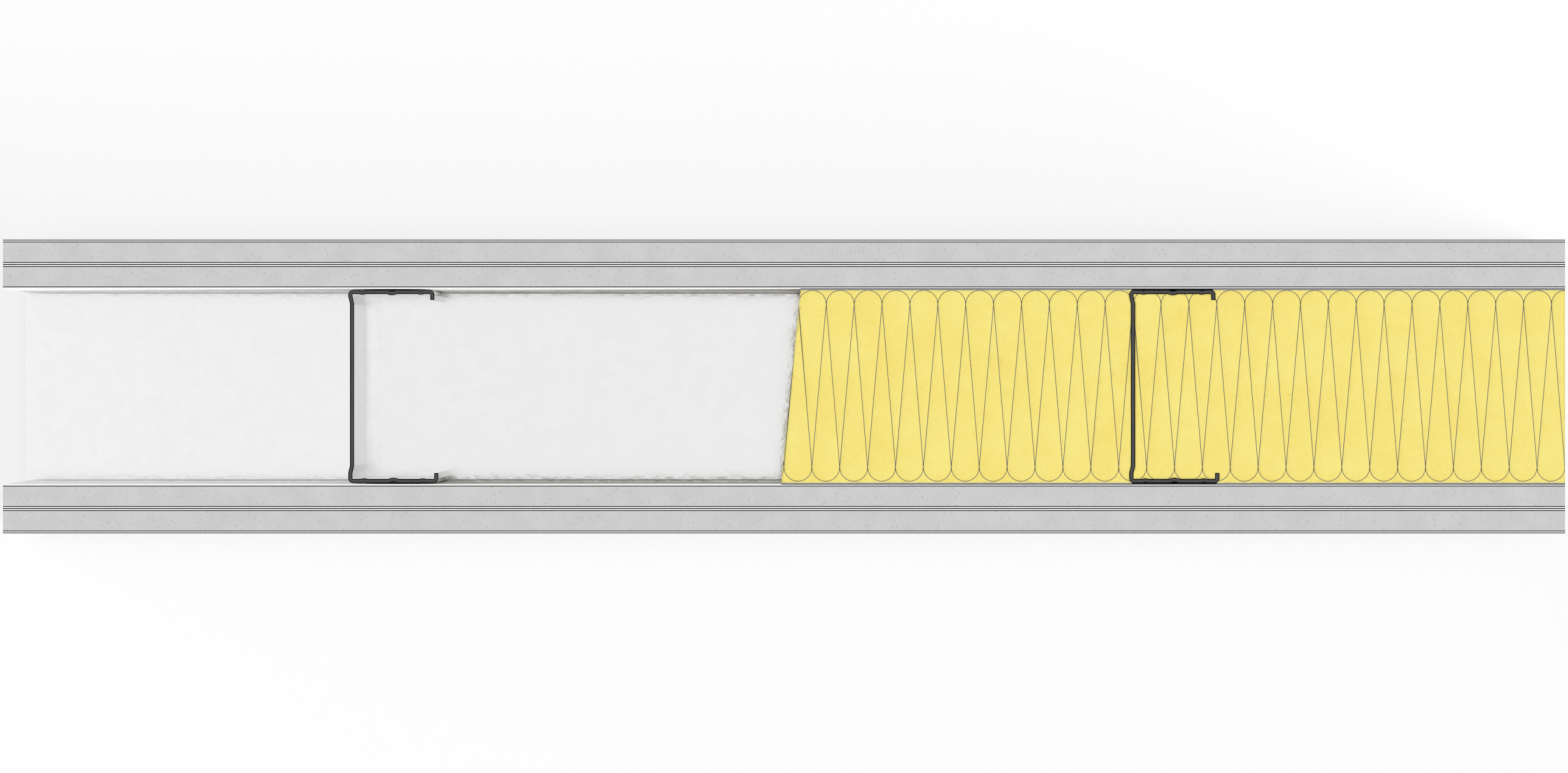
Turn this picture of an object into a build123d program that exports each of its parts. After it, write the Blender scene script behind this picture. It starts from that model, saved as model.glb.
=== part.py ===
from build123d import *
import os

# A cut length of metal stud partition with two gypsum boards on each face.
# X runs along the wall, Y goes through it and Z is up. The origin is on the floor,
# in the middle of the length and of the thickness. The front is the side towards -Y.

# Wall as a whole
wall_length = 800.0
wall_height = 500.0

# Boards
board_thickness = 12.5
paper_thickness = 1.0
board_floor_gap = 10.0

# Cavity between the two inner boards
cavity_width = 100.0

# Floor track and the foam strip under it
strip_thickness = 3.0
strip_width = 95.0
track_gauge = 0.6
track_flange = 40.0
track_bend_inner = 0.4

# Studs: the web stands across the wall and both flanges point towards +X
stud_gauge = 2.0
stud_bend_outer = 2.4
stud_back_flange = 44.0
stud_front_flange = 46.0
stud_lip = 5.0
stud_pitch = 400.0
first_web_from_left = 176.9

# Edges shorter than this are closed up where a sheet's inner face is offset
shortest_edge = 0.01

# Step that stiffens the web: depth, and where it starts and ends from each flange
web_step_depth = 0.86
back_step_start = 3.2
back_step_end = 7.0
front_step_start = 5.2
front_step_end = 8.8

# Beads rolled into the flanges, dipping towards the cavity
main_bead_depth = 0.57
main_bead_width = 4.3
minor_bead_depth = 0.3
minor_bead_width = 2.6
bead_flat_share = 0.36
bead_fillet = 2.3
back_bead_middles = (7.2, 22.3, 37.1)
front_bead_middles = (8.2, 23.1, 38.2)

# Mineral wool
wool_end_from_left = 403.5
wool_slant_run = 9.8
wool_board_gap = 0.8
wool_steel_gap = 0.3

# Values that follow from the sizes above
left_end = -wall_length / 2
right_end = wall_length / 2
half_cavity = cavity_width / 2
track_inner_half = half_cavity - track_gauge
track_floor = strip_thickness + track_gauge
stud_foot = track_floor + track_bend_inner
wool_foot = stud_foot
web_faces = {
    "stud_left": left_end + first_web_from_left,
    "stud_right": left_end + first_web_from_left + stud_pitch,
}
board_middles = {
    "front_outer": -(half_cavity + 1.5 * board_thickness),
    "front_inner": -(half_cavity + 0.5 * board_thickness),
    "back_inner": half_cavity + 0.5 * board_thickness,
    "back_outer": half_cavity + 1.5 * board_thickness,
}


os.makedirs("parts", exist_ok=True)


def write(piece, name):
    """Label a finished piece and write its STEP file."""
    piece.part.label = name
    export_step(piece.part, f"parts/{name}.step")


def slab(y_low, y_high, z_low, z_high=wall_height):
    """A flat piece as long as the wall, between two faces that stand across Y."""
    with BuildPart() as flat:
        with BuildSketch(Plane.XY.offset(z_low)):
            with Locations((0, (y_low + y_high) / 2)):
                Rectangle(wall_length, y_high - y_low)
        extrude(amount=z_high - z_low)
    return flat


def bead(middle, depth, width, face, inward):
    """Points of one bead in a flange, from its near side to its far side."""
    flat = width * bead_flat_share
    return [
        (middle - width / 2, face),
        (middle - flat / 2, face + inward * depth),
        (middle + flat / 2, face + inward * depth),
        (middle + width / 2, face),
    ]


def flange(middles, face, inward):
    """Points of a flange's three beads, from the web outwards."""
    depths = (minor_bead_depth, main_bead_depth, minor_bead_depth)
    widths = (minor_bead_width, main_bead_width, minor_bead_width)
    return [
        point
        for middle, depth, width in zip(middles, depths, widths)
        for point in bead(middle, depth, width, face, inward)
    ]


def stud_outline():
    """Outer face of the stud's sheet, from one lip round the web to the other.

    The web's outer face lies on X = 0. Each point has the radius of its own bend.
    """
    face = track_inner_half
    back = flange(back_bead_middles, face, -1)
    front = flange(front_bead_middles, -face, 1)
    corner = stud_bend_outer
    points = [(stud_back_flange, face - stud_lip), (stud_back_flange, face)]
    radii = [corner]
    points += reversed(back)
    radii += [bead_fillet] * len(back)
    points += [
        (0, face),
        (0, face - back_step_start),
        (web_step_depth, face - back_step_end),
        (web_step_depth, front_step_end - face),
        (0, front_step_start - face),
        (0, -face),
    ]
    radii += [corner] * 6
    points += front
    radii += [bead_fillet] * len(front)
    points += [(stud_front_flange, -face), (stud_front_flange, stud_lip - face)]
    radii.append(corner)
    return points, radii


def stud(web_face):
    """One C stud, standing in the track with its web's outer face at X = web_face."""
    points, radii = stud_outline()
    with BuildPart() as profile:
        with BuildSketch(Plane.XY.offset(stud_foot)):
            with BuildLine():
                FilletPolyline([(web_face + x, y) for x, y in points], radius=radii)
                offset(amount=stud_gauge, side=Side.LEFT, min_edge_length=shortest_edge)
            make_face()
        extrude(amount=wall_height - stud_foot)
    return profile


# Foam strip on the floor
foam = slab(-strip_width / 2, strip_width / 2, 0, strip_thickness)
write(foam, "sealing_strip")

# Floor track, a U on its back
with BuildPart() as track:
    with BuildSketch(Plane.YZ.offset(left_end)):
        with BuildLine():
            FilletPolyline(
                (-half_cavity, strip_thickness + track_flange),
                (-half_cavity, strip_thickness),
                (half_cavity, strip_thickness),
                (half_cavity, strip_thickness + track_flange),
                radius=track_bend_inner + track_gauge,
            )
            offset(amount=track_gauge, side=Side.LEFT, min_edge_length=shortest_edge)
        make_face()
    extrude(amount=wall_length)
write(track, "floor_track")

# Studs
for stud_name, web_x in web_faces.items():
    write(stud(web_x), stud_name)

# Boards: each core lies between its two paper liners
for board_name, middle in board_middles.items():
    outer = 1 if middle > 0 else -1
    core_half = board_thickness / 2 - paper_thickness
    core = slab(middle - core_half, middle + core_half, board_floor_gap)
    write(core, f"{board_name}_core")
    for side_name, way in (("face", outer), ("back", -outer)):
        paper_middle = middle + way * (core_half + paper_thickness / 2)
        paper = slab(
            paper_middle - paper_thickness / 2,
            paper_middle + paper_thickness / 2,
            board_floor_gap,
        )
        write(paper, f"{board_name}_{side_name}_paper")

# Wool in the bay, with its slanted end in the open cavity
wool_half = half_cavity - wool_board_gap
wool_end = left_end + wool_end_from_left
bay_end = web_faces["stud_right"] - wool_steel_gap
with BuildPart() as bay_batt:
    with BuildSketch(Plane.XY.offset(wool_foot)):
        with BuildLine():
            Polyline(
                (wool_end - wool_slant_run / 2, -wool_half),
                (bay_end, -wool_half),
                (bay_end, wool_half),
                (wool_end + wool_slant_run / 2, wool_half),
                close=True,
            )
        make_face()
    extrude(amount=wall_height - wool_foot)
write(bay_batt, "wool_bay_batt")

# Wool in the right stud, narrowed by its flanges and lips, and on to the right cut
web_inner = web_faces["stud_right"] + web_step_depth + stud_gauge + wool_steel_gap
stud_sides = ((stud_back_flange, 1), (stud_front_flange, -1))
flange_depth = stud_gauge + main_bead_depth + wool_steel_gap
lip_depth = stud_lip + wool_steel_gap
lip_length = stud_gauge + 2 * wool_steel_gap
with BuildPart() as stud_batt:
    with BuildSketch(Plane.XY.offset(wool_foot)):
        with Locations(((web_inner + right_end) / 2, 0)):
            Rectangle(right_end - web_inner, 2 * wool_half)
        for flange_length, way in stud_sides:
            lip_right = web_faces["stud_right"] + flange_length + wool_steel_gap
            flange_middle = way * (track_inner_half - flange_depth / 2)
            lip_middle = way * (track_inner_half - lip_depth / 2)
            with Locations(((web_inner + lip_right) / 2, flange_middle)):
                Rectangle(lip_right - web_inner, flange_depth, mode=Mode.SUBTRACT)
            with Locations((lip_right - lip_length / 2, lip_middle)):
                Rectangle(lip_length, lip_depth, mode=Mode.SUBTRACT)
    extrude(amount=wall_height - wool_foot)
write(stud_batt, "wool_stud_batt")
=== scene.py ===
import math
import random

import bmesh
import bpy
import numpy as np
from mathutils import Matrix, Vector, noise
from mathutils.geometry import delaunay_2d_cdt


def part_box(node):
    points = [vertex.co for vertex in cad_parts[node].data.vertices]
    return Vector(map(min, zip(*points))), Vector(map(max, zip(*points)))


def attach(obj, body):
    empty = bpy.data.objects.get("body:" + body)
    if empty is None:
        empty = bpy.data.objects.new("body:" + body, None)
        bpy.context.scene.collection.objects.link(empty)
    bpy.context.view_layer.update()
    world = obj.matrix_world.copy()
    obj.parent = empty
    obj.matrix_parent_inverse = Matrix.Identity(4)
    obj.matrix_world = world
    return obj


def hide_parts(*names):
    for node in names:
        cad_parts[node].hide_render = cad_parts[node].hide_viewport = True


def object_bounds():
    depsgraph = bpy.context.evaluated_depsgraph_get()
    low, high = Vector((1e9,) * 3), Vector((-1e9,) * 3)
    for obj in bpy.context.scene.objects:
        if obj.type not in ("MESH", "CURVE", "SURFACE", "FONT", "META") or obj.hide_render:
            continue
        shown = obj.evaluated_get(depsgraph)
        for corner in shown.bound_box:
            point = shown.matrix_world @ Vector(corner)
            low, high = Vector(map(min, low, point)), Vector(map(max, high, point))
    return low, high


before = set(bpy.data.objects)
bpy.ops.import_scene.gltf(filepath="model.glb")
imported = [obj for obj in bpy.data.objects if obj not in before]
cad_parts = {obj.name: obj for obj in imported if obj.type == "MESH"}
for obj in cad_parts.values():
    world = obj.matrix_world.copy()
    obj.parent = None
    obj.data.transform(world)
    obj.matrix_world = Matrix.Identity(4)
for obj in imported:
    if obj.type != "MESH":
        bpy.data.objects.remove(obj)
cad_low, cad_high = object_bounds()

MM = 0.001
TOP = cad_high.z
RIGHT = cad_high.x

# The photograph's frame and scale, and the camera's sensor and lens
PHOTO_WIDTH_PX = 2576
PHOTO_PX_PER_M = 3207.8
SENSOR_WIDTH_MM = 36.0
LENS_MM = 760.0

# Dark lines along both faces of each liner, the widest where two boards meet
SEAM_WIDTH = 0.45 * MM
JOINT_WIDTH = 0.55 * MM

# How far the lines stand out of the cut edges and reach into them, the outermost ones less deep
SEAM_PROUD = 0.06 * MM
SEAM_SUNK = 0.4 * MM
RIM_SUNK = 0.1 * MM

# Decimals that tell places in metres apart, and heights that count as the same
SEAM_DIGITS = 5
POINT_DIGITS = 6
SAME_LEVEL = 0.01 * MM

# The boards' face liners are matt, and their back liners are pressed smoother
FACE_PAPER_ROUGHNESS = 0.45
BACK_PAPER_ROUGHNESS = 0.2

# How far the zinc coats behave as metal
STUD_METALLIC = 0.85
TRACK_METALLIC = 0.9

# Burr round the cut top of each stud
BURR_WIDTH = 0.46 * MM
BURR_OVERHANG = 0.1 * MM
BURR_HEIGHT = 0.05 * MM

# Crimp of the mineral wool, in millimetres in plan. Its creases are painted dark as their shade, with
# a deeper painted shade where two loops meet
LOOP_PITCH = 400 / 28
LOOP_FIRST_UPPER = 7.35
LOOP_FIRST_LOWER = 14.25
LOOP_UPPER_Y = 42.15
LOOP_LOWER_Y = -41.4
LOOP_ARC_STEPS = 14
LOOP_NUMBERS = range(-2, 29)
CREASE_HALF = 0.175
CREASE_REACH = 1.05 * CREASE_HALF
CREASES_MEET = ((39.2, 43.3), (-42.6, -38.5))
CREASE_DEPTH = 0.55
CREASE_SPREAD = 1.1

# Mesh of the wool's cut top, in millimetres. A point of its grid keeps off the creases
WOOL_HALF = 49.3
WOOL_GRID = 1.6
WOOL_GRID_JITTER = 0.3
WOOL_GRID_SEED = 7
WOOL_GRID_CLEAR = 3 * CREASE_HALF
WOOL_SIDE_STEP = 8.0
WOOL_TOP_SUNK = 0.15
SAME_POINT = 1e-4
SHORTEST = 1e-6

# Lumps in the cut top: how fast each sort varies, how high it is, and its layer of the noise
WOOL_LUMPS = ((0.35, 0.12, 3.0), (1.1, 0.1, 9.0))

# Sides of the wool, in millimetres. A wave of its rough ends has rates along X, Y and Z and a share
WOOL_FIRST_LEVEL = 3.0
WOOL_LEVEL_STEP = 4.5
WOOL_END_ROUGH = 1.0
WOOL_END_WAVES = (((0.1, 0.16, 0.09), 1.0), ((0.1, 0.5, 0.22), 0.7))
WOOL_END_REACH = 0.05

# Where the batts part in the right stud's web, and the slivers left out at its beads, in millimetres
BATTS_PART = 1.5
BEAD_DEPTH = 0.9
CORNER_LENGTH = 3.5

# Facing of the wool, in millimetres
FLEECE_INNER = 49.3
FLEECE_OUTER = 49.75
FLEECE_FOOT = 45.0
FLEECE_TOP_SUNK = 0.2
FLEECE_LAP = 1.2
FLEECE_STEPS = (40, 1, 30)

# Board screws. The head's rings and the cross's levels are shares of its radius and its height
SCREW_RADIUS = 4.0 * MM
SCREW_PROUD = 0.3 * MM
SCREW_RINGS = ((1.0, -0.2), (0.97, 0.6), (0.86, 1.0))
SCREW_SIDES = 32
SCREW_HEIGHTS = (125 * MM, 375 * MM)
SCREW_FROM_WEB = 22.0 * MM
CROSS_REACH = 2.4 * MM
CROSS_WIDTH = 0.9 * MM
CROSS_LEVELS = (1.0, 0.15)

# Floor, and how much of its brightness a shadow can take
FLOOR_HALF = 30.0
FLOOR_BELOW = 0.2 * MM
FLOOR_TONE = 0.82
FLOOR_SHADOW_SHARE = 0.3

# Light: shares of the light that a face turned up gets, and the suns' directions and widths
WORLD_SHARE = 0.62
KEY_SHARE = 0.27
KEY_TOWARDS = (0.50, -0.14, 0.86)
KEY_DEGREES = 20
FILL_SHARE = 0.11
FILL_TOWARDS = (-0.42, 0.36, 0.83)
FILL_DEGREES = 50


def make_camera():
    """Looks straight down on the cut, framed as in the photograph."""
    view_width = PHOTO_WIDTH_PX / PHOTO_PX_PER_M
    data = bpy.data.cameras.new("camera")
    data.lens = LENS_MM
    data.sensor_width = SENSOR_WIDTH_MM
    data.clip_start = 0.1
    data.clip_end = 100.0
    camera = bpy.data.objects.new("camera", data)
    camera.location = (0, 0, TOP + view_width * LENS_MM / SENSOR_WIDTH_MM)
    bpy.context.scene.collection.objects.link(camera)
    bpy.context.scene.camera = camera


# Node trees

def material(name):
    """A new node material and its Principled shader."""
    made = bpy.data.materials.new(name)
    made.use_nodes = True
    shader = made.node_tree.nodes["Principled BSDF"]
    return made, made.node_tree, shader


def fill(tree, filled, inputs):
    """Gives each named socket of a node its value, or a link from another node's output."""
    for socket, value in inputs.items():
        if isinstance(value, bpy.types.NodeSocket):
            tree.links.new(value, filled.inputs[socket])
        else:
            filled.inputs[socket].default_value = value


def node(tree, kind, inputs=None, **settings):
    """Adds a node with its settings and the values or links of its sockets."""
    added = tree.nodes.new("ShaderNode" + kind)
    for key, value in settings.items():
        setattr(added, key, value)
    fill(tree, added, inputs or {})
    return added


def grey(level):
    """A colour without a tint."""
    return (level, level, level)


def opaque(colour):
    """A colour as a socket takes it, with its alpha."""
    return (*colour, 1)


def place(tree, scale=(1, 1, 1)):
    """The object's own coordinates, in metres, stretched by scale."""
    coordinates = node(tree, "TexCoord")
    mapping = node(tree, "Mapping", {"Vector": coordinates.outputs["Object"], "Scale": scale})
    return mapping.outputs["Vector"]


def cloud(tree, where, scale=1.0, detail=4, roughness=0.55, distortion=0.0):
    """Noise from 0 to 1."""
    made = node(tree, "TexNoise", {
        "Vector": where, "Scale": scale, "Detail": detail,
        "Roughness": roughness, "Distortion": distortion,
    })
    return made.outputs["Fac"]


def ramp(tree, value, colours, between=(0.3, 0.7)):
    """Goes from the first colour to the second as value crosses a range."""
    made = node(tree, "ValToRGB", {"Fac": value})
    for element, position, colour in zip(made.color_ramp.elements, between, colours):
        element.position = position
        element.color = opaque(colour)
    return made.outputs["Color"]


def spread(tree, value, between, onto=(0.0, 1.0)):
    """Value mapped from one range onto another, and held at its ends."""
    made = node(tree, "MapRange", {
        "Value": value, "From Min": between[0], "From Max": between[1],
        "To Min": onto[0], "To Max": onto[1],
    })
    return made.outputs["Result"]


def blend_colours(tree, share, first, second):
    """Goes from the first colour to the second as share goes from 0 to 1."""
    return node(tree, "Mix", {0: share, 6: first, 7: second}, data_type="RGBA").outputs[2]


def combine(tree, operation, first, second):
    """Arithmetic on two values."""
    return node(tree, "Math", {0: first, 1: second}, operation=operation).outputs[0]


def weighted(tree, *parts):
    """The sum of some values, each times its weight."""
    products = [combine(tree, "MULTIPLY", value, weight) for value, weight in parts]
    total = products[0]
    for product in products[1:]:
        total = combine(tree, "ADD", total, product)
    return total


def combine_vectors(tree, operation, first, second):
    """Arithmetic on two vectors."""
    return node(tree, "VectorMath", {0: first, 1: second}, operation=operation).outputs[0]


def cells(tree, where, scale):
    """Cells with random middles. Its outputs are the distance from the middle and a random colour."""
    return node(tree, "TexVoronoi", {"Vector": where, "Scale": scale, "Randomness": 1.0}).outputs


def surface_normal(tree):
    """The direction that the surface is turned to, before any relief."""
    return node(tree, "NewGeometry").outputs["Normal"]


def facing_up(tree):
    """The upward share of the surface's direction, 1 where it is turned straight up."""
    return node(tree, "SeparateXYZ", {"Vector": surface_normal(tree)}).outputs["Z"]


def bump(tree, shader, height, strength, distance):
    """Adds relief to a shader from a height."""
    made = node(tree, "Bump", {"Height": height, "Strength": strength, "Distance": distance})
    fill(tree, shader, {"Normal": made.outputs["Normal"]})


# Materials

def make_gypsum():
    """Grey gypsum core: mottled and grainy, with small pits left by air bubbles, sunk by the relief
    and painted darker as their shade.
    """
    made, tree, shader = material("gypsum")
    where = place(tree)
    mottle = cloud(tree, where, 70, detail=6)
    grain = cloud(tree, where, 1500, detail=3)
    mixed = weighted(tree, (mottle, 0.6), (grain, 0.4))
    colour = ramp(tree, mixed, (grey(0.56), grey(0.655)))
    # Pits left by air bubbles, painted darker grey as the shade inside them
    off_shaded_pits = spread(tree, cells(tree, where, 420)["Distance"], between=(0.05, 0.2))
    fill(tree, shader, {
        "Base Color": blend_colours(tree, off_shaded_pits, opaque(grey(0.43)), colour),
        "Roughness": 0.93,
        "Specular IOR Level": 0.2,
    })
    relief = combine(tree, "ADD", combine(tree, "MULTIPLY", grain, 0.35), off_shaded_pits)
    bump(tree, shader, relief, strength=0.25, distance=0.3 * MM)
    return made


def make_paper(name, roughness):
    """White board liner: faint fibres and recycled flecks."""
    made, tree, shader = material(name)
    where = place(tree)
    fibres = cloud(tree, place(tree, (500, 500, 1600)), detail=5, roughness=0.6, distortion=0.6)
    mottle = cloud(tree, where, 14, detail=5)
    mixed = weighted(tree, (fibres, 0.5), (mottle, 0.5))
    colour = ramp(tree, mixed, ((0.90, 0.896, 0.884), (0.965, 0.963, 0.955)))
    off_flecks = spread(tree, cells(tree, where, 190)["Distance"], between=(0.03, 0.08))
    fill(tree, shader, {
        "Base Color": blend_colours(tree, off_flecks, opaque((0.80, 0.785, 0.76)), colour),
        "Roughness": roughness,
        "Specular IOR Level": 0.5,
        "Sheen Weight": 1.0,
        "Sheen Roughness": 0.3,
    })
    bump(tree, shader, fibres, strength=0.12, distance=0.2 * MM)
    return made


def zinc(name, colours, roughness, tilt):
    """Zinc coated sheet with faint rolling streaks, and spangle whose cells lean a little."""
    made, tree, shader = material(name)
    where = place(tree)
    wander = node(tree, "TexNoise", {"Vector": where, "Scale": 60.0, "Detail": 2.0})
    shift = combine_vectors(tree, "MULTIPLY", wander.outputs["Color"], (0.01, 0.01, 0.01))
    spangle = cells(tree, combine_vectors(tree, "ADD", where, shift), 130)
    cell_tone = node(tree, "SeparateColor", {"Color": spangle["Color"]}).outputs["Red"]
    streaks = cloud(tree, place(tree, (260, 260, 5)))
    mixed = weighted(tree, (cell_tone, 0.45), (streaks, 0.55))
    colour = ramp(tree, mixed, colours, between=(0.2, 0.8))
    rough = spread(tree, cell_tone, between=(0.0, 1.0), onto=roughness)
    lean = combine_vectors(tree, "SUBTRACT", spangle["Color"], (0.5, 0.5, 0.5))
    small_lean = node(tree, "VectorMath", {0: lean, "Scale": tilt}, operation="SCALE")
    leaning = combine_vectors(tree, "ADD", surface_normal(tree), small_lean.outputs[0])
    facing = node(tree, "VectorMath", {0: leaning}, operation="NORMALIZE")
    relief = node(tree, "Bump", {
        "Height": streaks, "Strength": 0.04, "Distance": 0.2 * MM, "Normal": facing.outputs[0],
    })
    fill(tree, shader, {"Normal": relief.outputs["Normal"]})
    return made, tree, shader, colour, rough


def make_stud_steel():
    """Zinc coated stud whose sawn end, the only face turned up, is dark bare steel."""
    colours = ((0.73, 0.742, 0.757), (0.95, 0.955, 0.96))
    made, tree, shader, colour, rough = zinc("stud_steel", colours, (0.10, 0.20), tilt=0.02)
    sawn = combine(tree, "GREATER_THAN", facing_up(tree), 0.9)
    scratches = cloud(tree, place(tree, (900, 60, 60)))
    sawn_colour = ramp(tree, scratches, (grey(0.042), grey(0.066)))
    sawn_rough = combine(tree, "MULTIPLY", sawn, 0.8)
    fill(tree, shader, {
        "Base Color": blend_colours(tree, sawn, colour, sawn_colour),
        "Roughness": combine(tree, "MAXIMUM", rough, sawn_rough),
        "Metallic": spread(tree, sawn, between=(0.0, 1.0), onto=(STUD_METALLIC, 0.0)),
    })
    return made


def make_track_steel():
    """Bright thin zinc coated sheet of the floor track."""
    colours = ((0.905, 0.908, 0.911), (0.93, 0.933, 0.936))
    made, tree, shader, colour, rough = zinc("track_steel", colours, (0.04, 0.055), tilt=0.0004)
    fill(tree, shader, {"Base Color": colour, "Roughness": rough, "Metallic": TRACK_METALLIC})
    return made


def make_wool():
    """Yellow glass wool: matted fibres in tufts on its cut top, clumps and fuzz on its sides."""
    made, tree, shader = material("mineral_wool")
    tufts = cloud(tree, place(tree), 55, detail=5)
    fibres = cloud(tree, place(tree, (700, 1500, 160)), detail=5, roughness=0.65, distortion=1.4)
    crossing = cloud(tree, place(tree, (1700, 600, 220)), roughness=0.6, distortion=1.8)
    matted = combine(tree, "MAXIMUM", fibres, crossing)
    mixed = weighted(tree, (tufts, 0.35), (matted, 0.65))
    top_colours = ((0.955, 0.737, 0.157), (1.0, 0.92, 0.30))
    top_colour = ramp(tree, mixed, top_colours, between=(0.35, 0.72))
    layers = cloud(tree, place(tree, (60, 250, 75)), detail=6, roughness=0.7, distortion=2.4)
    clumps = cloud(tree, place(tree, (110, 130, 95)), detail=5, roughness=0.65, distortion=1.6)
    fuzz = cloud(tree, place(tree, (900, 1100, 700)), roughness=0.7, distortion=2.0)
    woolly = weighted(tree, (layers, 0.4), (clumps, 0.3), (fuzz, 0.3))
    side_colours = ((0.86, 0.66, 0.13), (1.0, 0.93, 0.33))
    side_colour = ramp(tree, woolly, side_colours, between=(0.38, 0.60))
    upright = spread(tree, facing_up(tree), between=(0.3, 0.7), onto=(0.7, 0.0))
    fill(tree, shader, {
        "Base Color": blend_colours(tree, upright, top_colour, side_colour),
        "Roughness": 0.95,
        "Specular IOR Level": 0.1,
        "Sheen Weight": 0.1,
    })
    side_relief = combine(tree, "MULTIPLY", woolly, combine(tree, "MULTIPLY", upright, 4.0))
    relief = combine(tree, "ADD", matted, side_relief)
    bump(tree, shader, relief, strength=0.45, distance=0.8 * MM)
    return made


def plain(name, greys, scale, roughness, strength=0.2):
    """Material with fine mottling between two greys, and a fine relief."""
    made, tree, shader = material(name)
    speckle = cloud(tree, place(tree), scale)
    fill(tree, shader, {
        "Base Color": ramp(tree, speckle, [grey(level) for level in greys]),
        "Roughness": roughness,
        "Specular IOR Level": 0.2,
    })
    bump(tree, shader, speckle, strength, distance=0.3 * MM)
    return made


# Meshes

def add_piece(name, vertices, faces, materials, indices=None, smooth=False):
    """Makes a mesh piece that rides on the wall."""
    mesh = bpy.data.meshes.new(name)
    mesh.from_pydata(vertices, [], faces)
    for made in materials:
        mesh.materials.append(made)
    if indices is not None:
        mesh.polygons.foreach_set("material_index", indices)
    mesh.polygons.foreach_set("use_smooth", [smooth] * len(mesh.polygons))
    mesh.update()
    piece = bpy.data.objects.new(name, mesh)
    bpy.context.scene.collection.objects.link(piece)
    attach(piece, "root")
    return piece


def join_parts(parts):
    """Joins several (vertices, faces) into one."""
    vertices, faces = [], []
    for some_vertices, some_faces in parts:
        start = len(vertices)
        vertices += some_vertices
        faces += [tuple(start + i for i in face) for face in some_faces]
    return vertices, faces


def around(loop):
    """Each item of a closed loop with the one after it."""
    return zip(loop, loop[1:] + loop[:1])


def band(first, second, count):
    """Faces between two rings of count points each, whose numbers start at first and second."""
    return [(first + i, first + j, second + j, second + i) for i, j in around(list(range(count)))]


def inside(points, loop):
    """Which points lie inside a closed loop."""
    found = np.zeros(len(points), bool)
    x, y = points[:, 0], points[:, 1]
    for (ax, ay), (bx, by) in around(loop):
        if ay == by:
            continue
        crosses = (ay > y) != (by > y)
        found ^= crosses & (x < (bx - ax) * (y - ay) / (by - ay) + ax)
    return found


def triangulate(points, edges, same_point):
    """Covers plan points with triangles that keep to the stated edges.

    Gives the points, the triangles, the triangles' middles, and the numbers that each
    point had before.
    """
    result = delaunay_2d_cdt([Vector(p) for p in points], edges, [], 0, same_point)
    plan = np.array([tuple(v) for v in result[0]])
    triangles = np.array([tuple(t) for t in result[2]])
    return plan, triangles, plan[triangles].mean(axis=1), result[3]


def close_mesh(mesh, join_within=0.0):
    """Joins points nearer than join_within, fills holes and turns every face outwards."""
    shape = bmesh.new()
    shape.from_mesh(mesh)
    if join_within:
        bmesh.ops.remove_doubles(shape, verts=shape.verts, dist=join_within)
    open_edges = [edge for edge in shape.edges if edge.is_boundary]
    bmesh.ops.holes_fill(shape, edges=open_edges, sides=0)
    bmesh.ops.recalc_face_normals(shape, faces=shape.faces)
    shape.to_mesh(mesh)
    shape.free()


# Boards and studs

def wool_tip(way):
    """X of the wool's slanted end, at the board on the side that way points to."""
    points = [v.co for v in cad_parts["wool_bay_batt"].data.vertices]
    return min(p.x for p in points if p.y * way > 0)


def seam_frame(middle, width, box, sunk):
    """A thin closed frame that shows as a line along all four cut edges of a board."""
    (x_low, x_high), (z_low, z_high) = box
    vertices = []
    for grow in (SEAM_PROUD, -sunk):
        corners = (
            (x_low - grow, z_low - grow), (x_high + grow, z_low - grow),
            (x_high + grow, z_high + grow), (x_low - grow, z_high + grow),
        )
        for y in (middle - width / 2, middle + width / 2):
            vertices += [(x, y, z) for x, z in corners]
    outer_near, outer_far, inner_near, inner_far = 0, 4, 8, 12
    faces = band(outer_far, outer_near, 4)
    faces += band(inner_near, inner_far, 4)
    faces += band(outer_near, inner_near, 4)
    faces += band(inner_far, outer_far, 4)
    return vertices, faces


def wool_seam(middle, wool_end):
    """The line between the wool and the board: along the top and down the right cut."""
    foot = FLEECE_FOOT * MM
    outline = [
        (wool_end, TOP - SEAM_SUNK), (RIGHT - SEAM_SUNK, TOP - SEAM_SUNK),
        (RIGHT - SEAM_SUNK, foot), (RIGHT + SEAM_PROUD, foot),
        (RIGHT + SEAM_PROUD, TOP + SEAM_PROUD), (wool_end, TOP + SEAM_PROUD),
    ]
    count = len(outline)
    vertices = []
    for y in (middle - SEAM_WIDTH / 2, middle + SEAM_WIDTH / 2):
        vertices += [(x, y, z) for x, z in outline]
    near, far = tuple(range(count)), tuple(range(count, 2 * count))
    return vertices, [near[::-1], far] + band(0, count, count)


def make_seams(side, way, made):
    """The dark lines of the two boards on the side of the wall that way points to."""
    low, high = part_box(f"{side}_outer_core")
    box = ((low.x, high.x), (low.z, high.z))
    lines = set()
    for board in (f"{side}_outer", f"{side}_inner"):
        for paper in ("face", "back"):
            lines |= {round(corner.y, SEAM_DIGITS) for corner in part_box(f"{board}_{paper}_paper")}
    outermost = max(lines, key=abs)
    innermost = min(lines, key=abs)
    joint = round((outermost + innermost) / 2, SEAM_DIGITS)
    parts = [wool_seam(innermost, wool_tip(way))]
    for y in sorted(lines - {innermost}):
        width = JOINT_WIDTH if y == joint else SEAM_WIDTH
        sunk = RIM_SUNK if y == outermost else SEAM_SUNK
        parts.append(seam_frame(y, width, box, sunk))
    vertices, faces = join_parts(parts)
    add_piece(f"{side}_board_seams", vertices, faces, [made])


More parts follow.
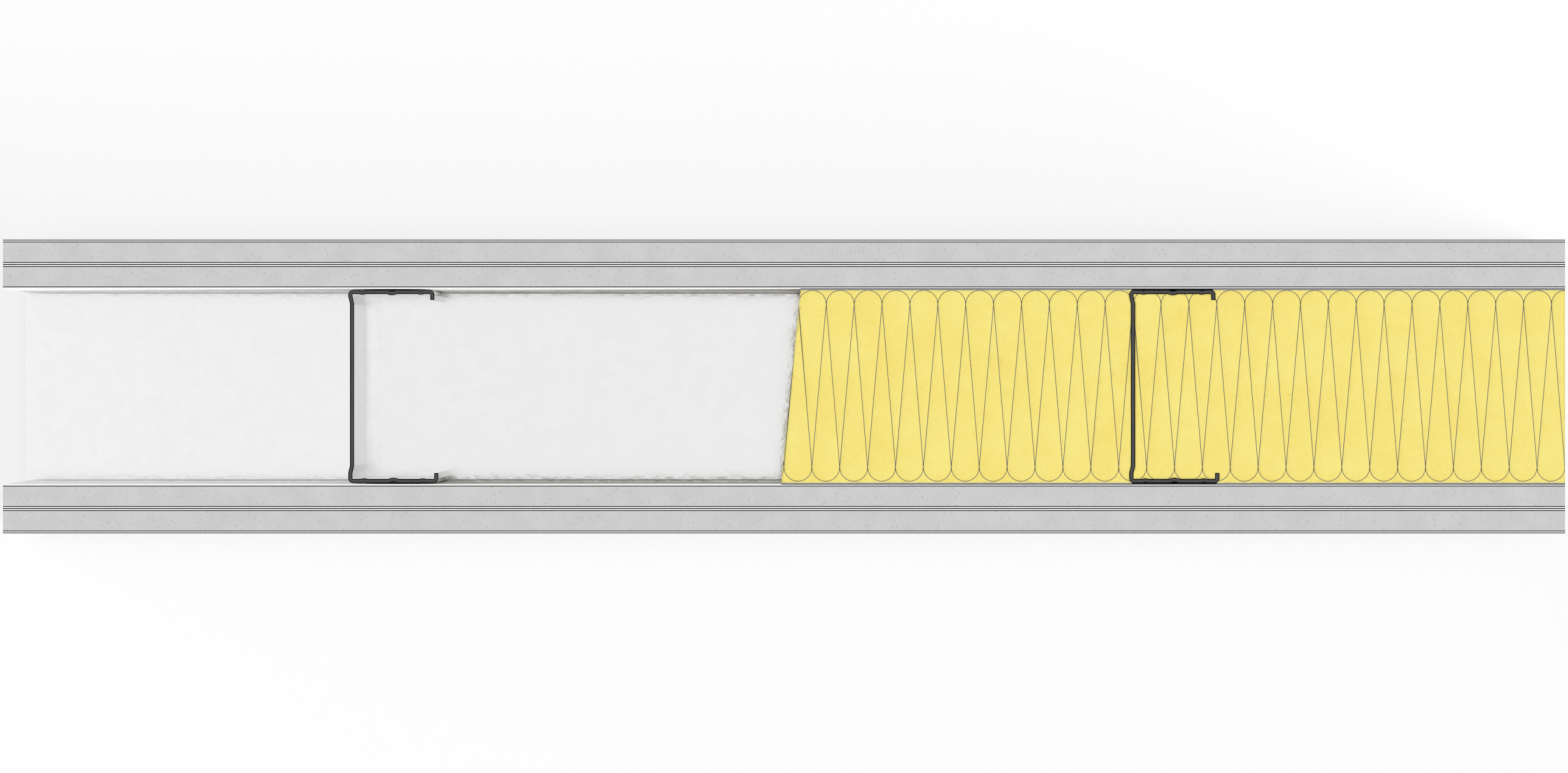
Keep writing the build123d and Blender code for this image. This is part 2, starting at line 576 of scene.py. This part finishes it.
def top_outline(node_name):
    """The outline of a node's top face as a loop of plan points, anticlockwise."""
    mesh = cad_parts[node_name].data
    corners = [v.co for v in mesh.vertices]
    edges = {}
    for polygon in mesh.polygons:
        if all(abs(corners[i].z - TOP) < SAME_LEVEL for i in polygon.vertices):
            ring = [tuple(round(c, POINT_DIGITS) for c in corners[i].xy) for i in polygon.vertices]
            edges.update(dict.fromkeys(around(ring)))
    onward = {a: b for a, b in edges if (b, a) not in edges}
    start = next(iter(onward))
    loop = [start]
    while onward[loop[-1]] != start:
        loop.append(onward[loop[-1]])
    area = sum(a[0] * b[1] - b[0] * a[1] for a, b in around(loop))
    return loop if area > 0 else loop[::-1]


def inset(loop, amount):
    """Moves each point of an anticlockwise loop inwards, square to its two edges."""
    moved = []
    for before, here, after in zip(loop[-1:] + loop[:-1], loop, loop[1:] + loop[:1]):
        first = (Vector(here) - Vector(before)).normalized()
        second = (Vector(after) - Vector(here)).normalized()
        inward = Vector((-first.y - second.y, first.x + second.x)) / (1 + first.dot(second))
        moved.append(Vector(here) + inward * amount)
    return moved


def make_burr(node_name, made):
    """The raised dark rim that the saw leaves round the cut top of a stud."""
    edge = top_outline(node_name)
    outer = inset(edge, -BURR_OVERHANG)
    inner = inset(edge, BURR_WIDTH)
    vertices = []
    for ring, height in ((outer, 0), (outer, BURR_HEIGHT), (inner, BURR_HEIGHT), (inner, 0)):
        vertices += [(x, y, TOP + height) for x, y in ring]
    count = len(edge)
    faces = []
    for first, second in around([0, count, 2 * count, 3 * count]):
        faces += band(first, second, count)
    add_piece(f"{node_name}_burr", vertices, faces, [made])


# Mineral wool

def half_loop(start_x, middle_y, bulge):
    """Half a circle from left to right, which bulges up for 1 and down for -1."""
    radius = LOOP_PITCH / 2
    middle_x = start_x + radius
    turns = [math.pi * (1 - bulge * step / LOOP_ARC_STEPS) for step in range(LOOP_ARC_STEPS + 1)]
    return [(middle_x + radius * math.cos(t), middle_y + radius * math.sin(t)) for t in turns]


def loop_curve():
    """The crimp of the wool as one line of plan points, in millimetres."""
    points = []
    for number in LOOP_NUMBERS:
        points += half_loop(LOOP_FIRST_UPPER + number * LOOP_PITCH, LOOP_UPPER_Y, 1)
        points += half_loop(LOOP_FIRST_LOWER + number * LOOP_PITCH, LOOP_LOWER_Y, -1)
    return np.array(points)


def distance_to_line(points, line):
    """Each point's distance to a line of points, exact where it is less than LOOP_PITCH."""
    steps = np.diff(line, axis=0)
    squares = (steps ** 2).sum(1)
    nearest = np.full(len(points), np.inf)
    for (start_x, start_y), (step_x, step_y), square in zip(line[:-1], steps, squares):
        if square < SHORTEST ** 2:
            continue
        low = min(start_x, start_x + step_x) - LOOP_PITCH
        high = max(start_x, start_x + step_x) + LOOP_PITCH
        near = np.flatnonzero((points[:, 0] > low) & (points[:, 0] < high))
        offset_x, offset_y = points[near, 0] - start_x, points[near, 1] - start_y
        share = np.clip((offset_x * step_x + offset_y * step_y) / square, 0, 1)
        distance = np.hypot(offset_x - share * step_x, offset_y - share * step_y)
        nearest[near] = np.minimum(nearest[near], distance)
    return nearest


def divided(outline):
    """The wool's outline with extra points, close together at its two free ends."""
    points = []
    for (ax, ay), (bx, by) in around(outline):
        step = WOOL_SIDE_STEP if ay == by else WOOL_GRID
        count = max(1, math.ceil(math.hypot(bx - ax, by - ay) / step))
        points += [(ax + (bx - ax) * i / count, ay + (by - ay) * i / count) for i in range(count)]
    return points


def crease_edges(crimp):
    """The two sides of the crease that follows the crimp, as (points, edges)."""
    points, edges = [], []
    for a, b in zip(crimp[:-1], crimp[1:]):
        way = b - a
        length = np.hypot(*way)
        if length < SHORTEST:
            continue
        across = np.array((-way[1], way[0])) / length * CREASE_HALF
        for side in (-1, 1):
            start = len(points)
            points += [tuple(a + side * across), tuple(b + side * across)]
            edges.append((start, start + 1))
    return points, edges


def wool_grid(outline):
    """A jittered grid of plan points over the wool."""
    xs, ys = [x for x, y in outline], [y for x, y in outline]
    draw = random.Random(WOOL_GRID_SEED).uniform
    most = WOOL_GRID_JITTER
    return np.array([
        (x + draw(-most, most), y + draw(-most, most))
        for x in np.arange(min(xs), max(xs), WOOL_GRID)
        for y in np.arange(min(ys), max(ys), WOOL_GRID)
    ])


def wool_plan(outline, steel):
    """The wool's cut top in plan, inside outline and outside the steel.

    Gives its points, its triangles, each triangle's kind (0 wool, 1 crease painted with shade,
    2 crease painted with deeper shade) and each point's distance to the crimp.
    """
    crimp = loop_curve()
    points, edges = crease_edges(crimp)
    for shape in (divided(outline), steel):
        numbers = list(range(len(points), len(points) + len(shape)))
        points += shape
        edges += around(numbers)
    grid = wool_grid(outline)
    clear = distance_to_line(grid, crimp) > WOOL_GRID_CLEAR
    clear &= inside(grid, outline) & ~inside(grid, steel)
    points += [tuple(p) for p in grid[clear]]
    plan, triangles, middles, _ = triangulate(points, edges, SAME_POINT)
    kept = inside(middles, outline) & ~inside(middles, steel)
    # Triangles along the crimp get the crease's painted shade, and where two loops meet a deeper
    # painted shade
    kinds = (distance_to_line(middles, crimp) < CREASE_REACH).astype(int)
    for low, high in CREASES_MEET:
        kinds[(kinds > 0) & (middles[:, 1] > low) & (middles[:, 1] < high)] = 2
    return plan, triangles[kept], kinds[kept], distance_to_line(plan, crimp)


def top_height(x, y, dip):
    """Height of the wool's cut top at a plan point, in millimetres."""
    lump = sum(
        height * noise.noise(Vector((x, y, layer)) * rate) for rate, height, layer in WOOL_LUMPS
    )
    return TOP / MM - dip - WOOL_TOP_SUNK + lump


def side_levels(foot):
    """Heights of the rings of points down the wool's sides, in millimetres."""
    levels = []
    depth = WOOL_FIRST_LEVEL
    while depth < TOP / MM - foot - WOOL_LEVEL_STEP / 2:
        levels.append(TOP / MM - depth)
        depth += WOOL_LEVEL_STEP
    return levels + [foot]


def end_hollow(x, y, level):
    """How far a free end of the wool is hollowed out at one place, in millimetres."""
    rough = sum(
        share * noise.noise(Vector((x * along, y * across, level * down)))
        for (along, across, down), share in WOOL_END_WAVES
    )
    return WOOL_END_ROUGH * (0.5 + 0.5 * rough)


def wool_piece(name, node_name, plan, triangles, kinds, reach, free_end, materials):
    """One batt: a cut top with the crimp's creases, and sides down to its foot.

    Reach is each plan point's distance to the crimp. At a free end, free_end(x, y) says
    which way along X is inwards, and elsewhere it is 0.
    """
    used = np.unique(triangles)
    number = {old: new for new, old in enumerate(used)}
    faces = [tuple(number[i] for i in triangle) for triangle in triangles]
    indices = [int(kind) for kind in kinds]
    spots = plan[used]
    dips = CREASE_DEPTH * np.exp(-reach[used] / CREASE_SPREAD)
    vertices = [(x, y, top_height(x, y, dip)) for (x, y), dip in zip(spots, dips)]

    edges = dict.fromkeys(edge for face in faces for edge in around(face))
    rim = [(a, b) for a, b in edges if (b, a) not in edges]
    rim_points = sorted({point for edge in rim for point in edge})
    above = {i: i for i in rim_points}
    for level in side_levels(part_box(node_name)[0].z / MM):
        below = {}
        for i in rim_points:
            x, y = spots[i]
            inward = free_end(x, y)
            if inward:
                x += inward * (end_hollow(x, y, level) + dips[i])
            below[i] = len(vertices)
            vertices.append((x, y, level))
        for a, b in rim:
            faces.append((above[a], below[a], below[b], above[b]))
            indices.append(0)
        above = below
    vertices = [tuple(c * MM for c in vertex) for vertex in vertices]
    piece = add_piece(name, vertices, faces, materials, indices, smooth=True)
    close_mesh(piece.data)
    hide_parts(node_name)


def make_wool_batts(materials):
    """Both batts, cut at the slanted end and at the wall's right cut."""
    tip_front = wool_tip(-1) / MM
    tip_back = wool_tip(1) / MM
    right = RIGHT / MM
    outline = [
        (tip_front, -WOOL_HALF), (right, -WOOL_HALF), (right, WOOL_HALF), (tip_back, WOOL_HALF),
    ]
    steel = [(x / MM, y / MM) for x, y in top_outline("stud_right")]
    web = min(x for x, y in steel)
    flange_end = max(x for x, y in steel)
    plan, triangles, kinds, reach = wool_plan(outline, steel)
    middles = plan[triangles].mean(axis=1)
    bead_slivers = np.abs(middles[:, 1]) > WOOL_HALF - BEAD_DEPTH
    bead_slivers &= middles[:, 0] > web + CORNER_LENGTH
    bead_slivers &= middles[:, 0] < flange_end - CORNER_LENGTH
    in_bay = middles[:, 0] < web + BATTS_PART

    def slant_end(x, y):
        edge = tip_front + (tip_back - tip_front) * (y + WOOL_HALF) / (2 * WOOL_HALF)
        return 1 if abs(x - edge) < WOOL_END_REACH else 0

    def right_end(x, y):
        return -1 if abs(x - right) < WOOL_END_REACH else 0

    for name, part, free_end in (
        ("wool_bay", in_bay & ~bead_slivers, slant_end),
        ("wool_stud", ~in_bay & ~bead_slivers, right_end),
    ):
        wool_piece(
            name, f"{name}_batt", plan, triangles[part], kinds[part], reach, free_end, materials
        )


def box_mesh(low, high, steps):
    """A closed box whose faces are divided into steps along X, Y and Z."""
    vertices, faces, known = [], [], {}

    def corner(i, j, k):
        key = (i, j, k)
        if key not in known:
            known[key] = len(vertices)
            vertices.append(tuple(
                low[axis] + (high[axis] - low[axis]) * part / steps[axis]
                for axis, part in enumerate(key)
            ))
        return known[key]

    for axis in range(3):
        first, second = (axis + 1) % 3, (axis + 2) % 3
        for end in (0, steps[axis]):
            for a in range(steps[first]):
                for b in range(steps[second]):
                    ring = []
                    for da, db in ((0, 0), (1, 0), (1, 1), (0, 1)):
                        key = [0, 0, 0]
                        key[axis], key[first], key[second] = end, a + da, b + db
                        ring.append(corner(*key))
                    faces.append(tuple(ring if end else ring[::-1]))
    return vertices, faces


def make_fleece(made):
    """The thin grey facing on both faces of the wool, clear of the stud's flanges."""
    steel = top_outline("stud_right")
    web = min(x for x, y in steel)
    foot = FLEECE_FOOT * MM
    top = TOP - FLEECE_TOP_SUNK * MM
    lap = FLEECE_LAP * MM
    parts = []
    for way in (-1, 1):
        flange_end = max(x for x, y in steel if y * way > 0)
        y_low, y_high = sorted((way * FLEECE_INNER * MM, way * FLEECE_OUTER * MM))
        for x_low, x_high in ((wool_tip(way), web + lap), (flange_end - lap, RIGHT)):
            parts.append(box_mesh((x_low, y_low, foot), (x_high, y_high, top), FLEECE_STEPS))
    vertices, faces = join_parts(parts)
    add_piece("wool_fleece", vertices, faces, [made])


# Board screws

def cross_outline(x, z):
    """The outline of a cross recess round a middle, anticlockwise."""
    reach, half = CROSS_REACH, CROSS_WIDTH / 2
    arms = (
        (reach, half), (half, half), (half, reach),
        (-half, reach), (-half, half), (-reach, half),
        (-reach, -half), (-half, -half), (-half, -reach),
        (half, -reach), (half, -half), (reach, -half),
    )
    return [(x + along, z + up) for along, up in arms]


def screw_ring(x, z, radius):
    """A circle of points round a middle."""
    turns = [2 * math.pi * side / SCREW_SIDES for side in range(SCREW_SIDES)]
    return [(x + radius * math.cos(turn), z + radius * math.sin(turn)) for turn in turns]


def screw_head(x, z, y_face, way):
    """A flat bugle head with a cross recess, on the face that looks along way.

    Gives its vertices, its faces and each face's material: 1 in the recess, painted near black as its
    shade, or else 0.
    """
    cross = cross_outline(x, z)
    rings = [(screw_ring(x, z, SCREW_RADIUS * share), height) for share, height in SCREW_RINGS]
    rings += [(cross, height) for height in CROSS_LEVELS]
    vertices = []
    for ring, height in rings:
        vertices += [(u, y_face + way * SCREW_PROUD * height, v) for u, v in ring]

    faces = [tuple(range(SCREW_SIDES))]
    for level in range(len(SCREW_RINGS) - 1):
        faces += band(level * SCREW_SIDES, (level + 1) * SCREW_SIDES, SCREW_SIDES)
    cross_start = len(SCREW_RINGS) * SCREW_SIDES
    floor_start = cross_start + len(cross)
    flat_start = cross_start - SCREW_SIDES
    flat = [(u, v) for u, _, v in vertices[flat_start:floor_start]]
    numbers = list(range(len(flat)))
    edges = [*around(numbers[:SCREW_SIDES]), *around(numbers[SCREW_SIDES:])]
    _, triangles, middles, before = triangulate(flat, edges, SAME_POINT * MM)
    for triangle in triangles[~inside(middles, cross)]:
        faces.append(tuple(flat_start + before[i][0] for i in triangle))
    # The recess faces take the material painted near black as the shade inside the cross
    recess = band(floor_start, cross_start, len(cross))
    recess.append(tuple(range(floor_start, floor_start + len(cross))))
    return vertices, faces + recess, [0] * len(faces) + [1] * len(recess)


def make_screws(materials):
    """Board screws along the middle of the studs' flanges, on both faces."""
    for side, way in (("front", -1), ("back", 1)):
        parts, indices = [], []
        for stud in ("stud_left", "stud_right"):
            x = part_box(stud)[0].x + SCREW_FROM_WEB
            for z in SCREW_HEIGHTS:
                vertices, faces, some = screw_head(x, z, cad_high.y * way, way)
                parts.append((vertices, faces))
                indices += some
        vertices, faces = join_parts(parts)
        piece = add_piece(f"{side}_screws", vertices, faces, materials, indices)
        close_mesh(piece.data, join_within=SAME_POINT * MM)


# Stage and light

def background_share(tree):
    """1 for rays that should see the pale background, and 0 for the rest."""
    path = node(tree, "LightPath")
    share = combine(tree, "MAXIMUM", path.outputs["Is Camera Ray"], path.outputs["Is Glossy Ray"])
    return combine(tree, "MAXIMUM", share, path.outputs["Is Transmission Ray"])


def make_floor():
    """A wide pale floor that shows white and keeps a faint shadow."""
    made, tree, shader = material("floor")
    fill(tree, shader, {
        "Base Color": opaque(grey(FLOOR_TONE)),
        "Roughness": 0.9,
        "Specular IOR Level": 0.1,
    })
    soft = node(tree, "BsdfDiffuse", {"Color": opaque(grey(FLOOR_SHADOW_SHARE))})
    glow = node(tree, "Emission", {"Color": opaque(grey(1)), "Strength": 1 - FLOOR_SHADOW_SHARE})
    seen = node(tree, "AddShader", {0: soft.outputs[0], 1: glow.outputs[0]})
    mixed = node(tree, "MixShader", {
        0: background_share(tree), 1: shader.outputs[0], 2: seen.outputs[0],
    })
    fill(tree, tree.nodes["Material Output"], {"Surface": mixed.outputs[0]})
    corners = ((-1, -1), (1, -1), (1, 1), (-1, 1))
    mesh = bpy.data.meshes.new("floor")
    mesh.from_pydata([(x * FLOOR_HALF, y * FLOOR_HALF, 0) for x, y in corners], [], [(0, 1, 2, 3)])
    mesh.materials.append(made)
    floor = bpy.data.objects.new("floor", mesh)
    floor.location.z = cad_low.z - FLOOR_BELOW
    bpy.context.scene.collection.objects.link(floor)


def make_world():
    """Even light from all round, seen as white by the camera and in reflections."""
    world = bpy.data.worlds.new("world")
    world.use_nodes = True
    tree = world.node_tree
    fill(tree, tree.nodes["Background"], {
        "Color": opaque(grey(1)),
        "Strength": spread(tree, background_share(tree), between=(0.0, 1.0), onto=(WORLD_SHARE, 1.0)),
    })
    bpy.context.scene.world = world


def make_sun(name, share, towards, degrees):
    """A soft sun, this many degrees wide, that gives a face turned up its share of full light."""
    direction = Vector(towards).normalized()
    data = bpy.data.lights.new(name, "SUN")
    data.energy = share * math.pi / direction.z
    data.angle = math.radians(degrees)
    sun = bpy.data.objects.new(name, data)
    sun.rotation_mode = "QUATERNION"
    sun.rotation_quaternion = direction.to_track_quat("Z", "Y")
    bpy.context.scene.collection.objects.link(sun)


def dress_node(name, made):
    """Gives a CAD node its material."""
    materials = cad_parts[name].data.materials
    materials.clear()
    materials.append(made)


def main():
    scene = bpy.context.scene
    scene.view_settings.view_transform = "Standard"
    make_camera()
    gypsum = make_gypsum()
    face_paper = make_paper("face_paper", FACE_PAPER_ROUGHNESS)
    back_paper = make_paper("back_paper", BACK_PAPER_ROUGHNESS)
    stud_steel = make_stud_steel()
    track_steel = make_track_steel()
    wool = make_wool()
    # The crease colours are painted shade in the crimp's creases, darkest where two loops meet
    crease = plain("wool_crease_painted_shade", (0.12, 0.18), scale=900, roughness=0.95)
    deep_crease = plain("wool_deep_crease_painted_shade", (0.06, 0.10), scale=900, roughness=0.95)
    fleece = plain("wool_fleece", (0.45, 0.56), scale=600, roughness=0.95)
    seam = plain("seam_line", (0.012, 0.024), scale=300, roughness=0.9)
    burr = plain("steel_burr", (0.004, 0.012), scale=300, roughness=0.7)
    screw = plain("screw_phosphate", (0.035, 0.06), scale=400, roughness=0.4)
    # The screws' cross recess is painted near black as the shade inside it
    recess = plain("screw_recess_painted_shade", (0.003, 0.006), scale=400, roughness=0.8)
    foam = plain("foam", (0.05, 0.09), scale=700, roughness=0.95, strength=0.5)
    for board in ("front_outer", "front_inner", "back_inner", "back_outer"):
        dress_node(f"{board}_core", gypsum)
        dress_node(f"{board}_face_paper", face_paper)
        dress_node(f"{board}_back_paper", back_paper)
    for stud in ("stud_left", "stud_right"):
        dress_node(stud, stud_steel)
        make_burr(stud, burr)
    dress_node("floor_track", track_steel)
    dress_node("sealing_strip", foam)
    for side, way in (("front", -1), ("back", 1)):
        make_seams(side, way, seam)
    make_wool_batts([wool, crease, deep_crease])
    make_fleece(fleece)
    make_screws([screw, recess])
    make_floor()
    make_world()
    make_sun("key", KEY_SHARE, KEY_TOWARDS, KEY_DEGREES)
    make_sun("fill", FILL_SHARE, FILL_TOWARDS, FILL_DEGREES)


main()
